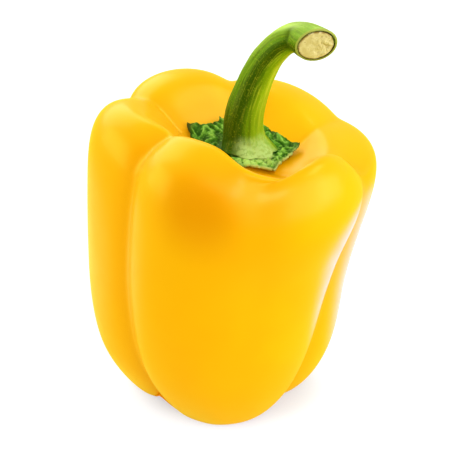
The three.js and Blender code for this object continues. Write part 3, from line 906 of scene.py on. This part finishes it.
pithLook = {
    "cream": (0.56, 0.48, 0.3, 1),
    "pale": (0.66, 0.6, 0.47, 1),
    "tan": (0.4, 0.3, 0.13, 1),
    "brown": (0.3, 0.19, 0.05, 1),
    "palePatches": {"size": 1.6, "span": (0.35, 0.65), "values": (0, 1)},
    "tanHollows": ((-0.15, -0.5), (0, 0.8)),
    "specks": {"size": 0.8, "detail": 4, "rough": 0.65, "span": (0.56, 0.7), "values": (0, 0.7)},
    "frayedFrom": 0.86,
    "frays": {"size": 1.1, "span": (0.35, 0.6), "values": (0, 1)},
    "roughness": {"size": 0.8, "span": (0.3, 0.7), "values": (0.65, 0.9)},
    "crumbs": {"size": 0.3, "detail": 5, "deep": 0.12, "strength": 0.9},
}


def makePithCream():
    look = pithLook
    material, net, shader = newMaterial("pithCream", {})
    colour = mixOf(net, patchesOf(net, look["palePatches"]), look["cream"], look["pale"])
    depths, shares = look["tanHollows"]
    colour = mixOf(net, rangeOf(net, markOf(net, "bumps"), *depths, *shares), colour, look["tan"])
    colour = mixOf(net, patchesOf(net, look["specks"]), colour, look["brown"])
    atEdge = rangeOf(net, markOf(net, "spread"), look["frayedFrom"], 1)
    colour = mixOf(net, timesOf(net, atEdge, patchesOf(net, look["frays"])), colour, look["brown"])
    net.links.new(colour, shader.inputs["Base Color"])
    net.links.new(patchesOf(net, look["roughness"]), shader.inputs["Roughness"])
    addBump(net, shader, look["crumbs"])
    return material


makeFruit(makeFruitSkin())
makeCalyx(makeCalyxGreen())
makeStem(makeStemGreen())
makePith(makePithCream())


# Stage

# Directions are in degrees from the viewer round to the right and up from the floor. Distances and sizes of
# lights and cards are in metres, those of the camera and the shade in millimetres.
studio = {
    "floorSize": 8,
    "floorColour": (0.36, 0.4, 0.52, 1),
    "floorGlow": 0.68,
    "floorSeen": (0.95, 1.03, 1.22, 1),
    # warm colours of floor and world that only the fruit mirrors, while the camera sees white
    "floorUnseen": (0.3, 0.28, 0.04, 1),
    "floorWarmth": (1, 0.96, 0.12, 1),
    "fillWarmth": (1, 0.98, 0.3, 1),
    "fill": 0.85,
    # a soft oval shade painted under the fruit: its middle, its width over its depth and how far it reaches
    "shade": {"middle": (0, 5), "wider": 1.25, "from": 20, "to": 33, "left": 0.68},
    # round cards painted on the floor behind the fruit, which its sides mirror
    "cards": (
        {"round": 128, "away": 0.092, "from": 0.025, "to": 0.06, "glow": (2.4, 1.4, 3, 1)},
        {"round": -116, "away": 0.14, "from": 0.04, "to": 0.1, "glow": (1.4, 1.4, 0.5, 1)},
    ),
    # the unlit corner of the studio that the front of the fruit mirrors
    "darkCorner": {"round": -37, "up": 17, "from": 20, "to": 39, "left": 0.02},
    "middle": (0, 0, 0.06),
    "softboxes": {
        "backLeftBox": {"round": -142, "up": 37, "away": 1.3, "size": (1.5, 1.3), "bright": 1.9,
                        "roll": 0, "colour": (1, 0.97, 0.7)},
        "rightBox": {"round": 80, "up": 12, "away": 1.3, "size": (0.85, 0.6), "bright": 2.05,
                     "roll": -18, "colour": (1, 0.92, 0.8)},
        "frontRightBox": {"round": 50, "up": 22, "away": 1.4, "size": (1.6, 1.1), "bright": 1.8,
                          "roll": -12, "colour": (1, 0.92, 0.9)},
        "topRightBox": {"round": 94, "up": 52, "away": 1.3, "size": (0.65, 0.28), "bright": 4.5,
                        "roll": 0, "colour": (1, 0.96, 0.6)},
        "topFrontBox": {"round": 6, "up": 44, "away": 1.3, "size": (0.34, 0.26), "bright": 7,
                        "roll": 0, "colour": (1, 0.97, 1)},
        "leftBox": {"round": -86, "up": 6, "away": 1.4, "size": (1.1, 1.2), "bright": 2.75,
                    "roll": 0, "colour": (1, 0.97, 0.3)},
    },
    "camera": {"target": (-1.37, 3.25, 57.2), "elevation": 31.25, "distance": 600,
               "lens": 162.7, "near": 10},
}
white = (1, 1, 1, 1)
black = (0, 0, 0, 1)


def wayTo(turn, rise):
    turn, rise = math.radians(turn), math.radians(rise)
    across, ahead = math.sin(turn) * math.cos(rise), math.cos(turn) * math.cos(rise)
    return Vector((across, -ahead, math.sin(rise)))


def seenDirectly(net):
    return addNode(net, "ShaderNodeLightPath").outputs["Is Camera Ray"]


# share of the light left in a direction: less inside the cone of the dark corner, all of it for the camera
def lightLeft(net, way):
    corner = studio["darkCorner"]
    middle = wayTo(corner["round"], corner["up"])
    apart = vectorOf(net, "DOT_PRODUCT", vectorOf(net, "NORMALIZE", way), middle)
    edges = [math.cos(math.radians(corner[key])) for key in ("to", "from")]
    most = addNode(net, "ShaderNodeMath", operation="MAXIMUM")
    net.links.new(rangeOf(net, apart, *edges, 1, corner["left"]), most.inputs[0])
    net.links.new(seenDirectly(net), most.inputs[1])
    return most.outputs[0]


def shadeUnderFruit(net, position):
    shade = studio["shade"]
    middle = (shade["middle"][0] * mm, shade["middle"][1] * mm, 0)
    offset = vectorOf(net, "SUBTRACT", position, middle)
    away = vectorOf(net, "LENGTH", vectorOf(net, "MULTIPLY", offset, (1, shade["wider"], 1)))
    return rangeOf(net, away, shade["from"] * mm, shade["to"] * mm, shade["left"], 1)


def makeFloor():
    half = studio["floorSize"] / 2
    corners = [(-half, -half, 0), (half, -half, 0), (half, half, 0), (-half, half, 0)]
    mesh = bpy.data.meshes.new("floor")
    mesh.from_pydata(corners, [], [(0, 1, 2, 3)])
    material, net, shader = newMaterial("floorWhite", {"Roughness": 0.9, "Specular IOR Level": 0})
    position = addNode(net, "ShaderNodeNewGeometry").outputs["Position"]
    seen = seenDirectly(net)
    left = lightLeft(net, vectorOf(net, "SUBTRACT", position, studio["middle"]))
    paint = mixOf(net, seen, studio["floorUnseen"], studio["floorColour"])
    net.links.new(mixOf(net, left, black, paint), shader.inputs["Base Color"])
    glow = studio["floorWarmth"]
    for card in studio["cards"]:
        away = vectorOf(net, "DISTANCE", position, wayTo(card["round"], 0) * card["away"])
        glow = mixOf(net, rangeOf(net, away, card["from"], card["to"], 1, 0), glow, card["glow"])
    net.links.new(mixOf(net, seen, glow, studio["floorSeen"]), shader.inputs["Emission Color"])
    bright = timesOf(net, timesOf(net, left, studio["floorGlow"]), shadeUnderFruit(net, position))
    net.links.new(bright, shader.inputs["Emission Strength"])
    mesh.materials.append(material)
    floor = bpy.data.objects.new("floor", mesh)
    bpy.context.scene.collection.objects.link(floor)


def makeWorld():
    world = bpy.data.worlds.new("studio")
    bpy.context.scene.world = world
    world.use_nodes = True
    net = world.node_tree
    left = lightLeft(net, addNode(net, "ShaderNodeTexCoord").outputs["Generated"])
    background = net.nodes["Background"]
    net.links.new(mixOf(net, seenDirectly(net), studio["fillWarmth"], white), background.inputs["Color"])
    net.links.new(timesOf(net, left, studio["fill"]), background.inputs["Strength"])


def aim(thing, place, target):
    thing.location = place
    thing.rotation_euler = (target - place).to_track_quat("-Z", "Y").to_euler()


def addSoftbox(name, box):
    light = bpy.data.lights.new(name, "AREA")
    light.shape = "RECTANGLE"
    light.size, light.size_y = box["size"]
    light.energy = box["bright"] * math.pi * light.size * light.size_y
    light.color = box["colour"]
    lamp = bpy.data.objects.new(name, light)
    bpy.context.scene.collection.objects.link(lamp)
    middle = Vector(studio["middle"])
    aim(lamp, middle + wayTo(box["round"], box["up"]) * box["away"], middle)
    lamp.rotation_euler.rotate_axis("Z", math.radians(box["roll"]))
    lamp.visible_camera = False


def addCamera():
    look = studio["camera"]
    camera = bpy.data.objects.new("camera", bpy.data.cameras.new("camera"))
    bpy.context.scene.collection.objects.link(camera)
    camera.data.lens = look["lens"]
    camera.data.clip_start = look["near"] * mm
    target = Vector(look["target"]) * mm
    aim(camera, target + wayTo(0, look["elevation"]) * (look["distance"] * mm), target)
    bpy.context.scene.camera = camera


def makeStudio():
    makeFloor()
    makeWorld()
    for name, box in studio["softboxes"].items():
        addSoftbox(name, box)
    addCamera()
    bpy.context.scene.view_settings.view_transform = "Standard"


makeStudio()
print("studio made")
